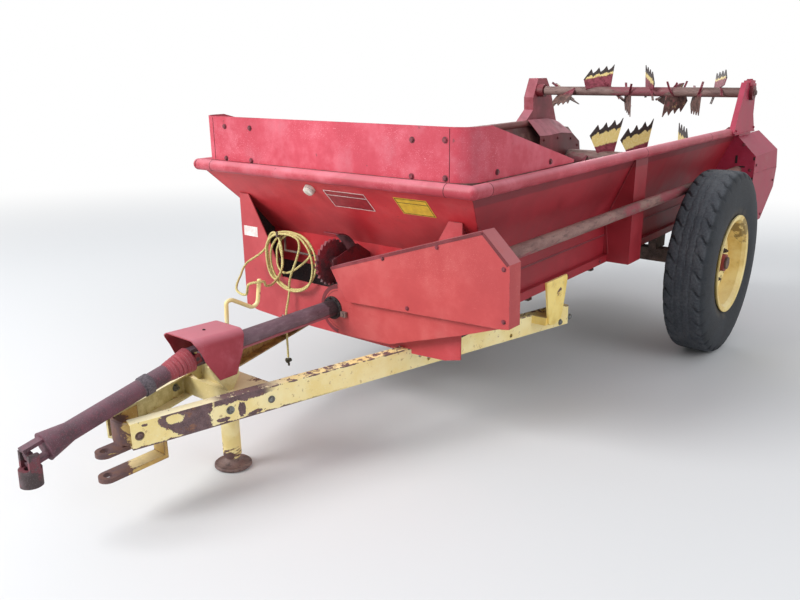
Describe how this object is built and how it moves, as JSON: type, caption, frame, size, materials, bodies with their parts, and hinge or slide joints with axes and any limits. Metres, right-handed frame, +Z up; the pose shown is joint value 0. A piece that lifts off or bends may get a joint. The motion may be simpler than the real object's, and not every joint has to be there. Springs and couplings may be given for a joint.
{
  "type": "towed box manure spreader",
  "caption": "Two-wheeled towed box spreader with a sloped-side load box, chain-and-slat floor, toothed rear beaters, yellow drawbar with jack and a shielded power shaft.",
  "frame": {"origin": "on the ground, under the middle of the machine's box", "axes": "+X to the machine's left side, +Y to the rear, where the beaters are, +Z up"},
  "size_m": [2.082, 4.9727, 1.6269],
  "materials": {
    "red_paint": "faded, chipped",
    "yellow_paint": "worn, rusty",
    "dark_tube": "worn, brown",
    "rusty_steel": "rusty",
    "white_plastic": "matte",
    "rope": "twisted",
    "tyre": "matte"
  },
  "bodies": {
    "frame": {"box_floor": "rusty_steel", "floor_crossmembers": "red_paint", "sill_left": "red_paint", "sill_right": "red_paint", "side_panel_left": "red_paint", "side_panel_right": "red_paint", "front_panel": "red_paint", "front_bulkhead": "red_paint", "top_rail": "red_paint", "front_board": "red_paint", "side_post_left": "red_paint", "side_post_right": "red_paint", "drawbar_leg_left": "yellow_paint", "drawbar_leg_right": "yellow_paint", "drawbar_cross": "yellow_paint", "hitch_nose": "yellow_paint", "leg_hanger_left": "yellow_paint", "leg_hanger_right": "yellow_paint", "bulkhead_brackets": "red_paint", "jack_tube": "yellow_paint", "jack_crank": "yellow_paint", "pto_hood": "red_paint", "carrier_bearing": "yellow_paint", "driveline_tube": "dark_tube", "chain_shield": "red_paint", "chain_shield_pan": "red_paint", "side_shaft_tube": "dark_tube", "rear_chain_shield": "red_paint", "rear_shield_bracket": "red_paint", "beater_post_left": "red_paint", "beater_post_right": "red_paint", "beater_bearings": "dark_tube", "axle": "rusty_steel", "apron": "rusty_steel", "apron_shafts": "rusty_steel", "apron_ratchet": "dark_tube", "rope_hook": "dark_tube", "front_cap": "white_plastic", "rope_coil": "rope", "rope_tail": "rope", "rope_strand": "rope"},
    "wheel_left": {"tyre_left": "tyre", "rim_left": "yellow_paint", "hub_left": "red_paint"},
    "wheel_right": {"tyre_right": "tyre", "rim_right": "yellow_paint", "hub_right": "red_paint"},
    "top_beater": {"top_beater_tube": "dark_tube", "top_beater_paddles": "yellow_paint"},
    "main_beater": {"main_beater_tube": "dark_tube", "main_beater_paddles": "yellow_paint"},
    "jack_leg": {"jack_leg": "yellow_paint", "jack_foot": "rusty_steel"},
    "pto_shaft": {"pto_shaft": "dark_tube"},
    "pto_end_yoke": {"pto_end_yoke": "dark_tube"}
  },
  "joints": [
    {"name": "wheel_left_spin", "type": "hinge", "parent": "frame", "child": "wheel_left", "pos_m": [0.927, 1.0081, 0.51], "axis": [1, 0, 0], "continuous": true},
    {"name": "wheel_right_spin", "type": "hinge", "parent": "frame", "child": "wheel_right", "pos_m": [-0.927, 1.0081, 0.51], "axis": [1, 0, 0], "continuous": true},
    {"name": "top_beater_spin", "type": "hinge", "parent": "frame", "child": "top_beater", "pos_m": [0, 1.92999, 1.43942], "axis": [1, 0, 0], "continuous": true},
    {"name": "main_beater_spin", "type": "hinge", "parent": "frame", "child": "main_beater", "pos_m": [0, 2.17073, 0.94907], "axis": [1, 0, 0], "continuous": true},
    {"name": "jack_lift", "type": "slide", "parent": "frame", "child": "jack_leg", "axis": [0, -0.0419, 0.9991], "range_m": [-0.2, 0.012]},
    {"name": "pto_swing", "type": "hinge", "parent": "frame", "child": "pto_shaft", "pos_m": [0, -1.85324, 0.48215], "axis": [-1, 0, 0], "range_deg": [0, 25]},
    {"name": "end_yoke_swing", "type": "hinge", "parent": "pto_shaft", "child": "pto_end_yoke", "pos_m": [0, -2.45235, 0.32893], "axis": [-1, 0, 0], "range_deg": [-5, 80]}
  ]
}
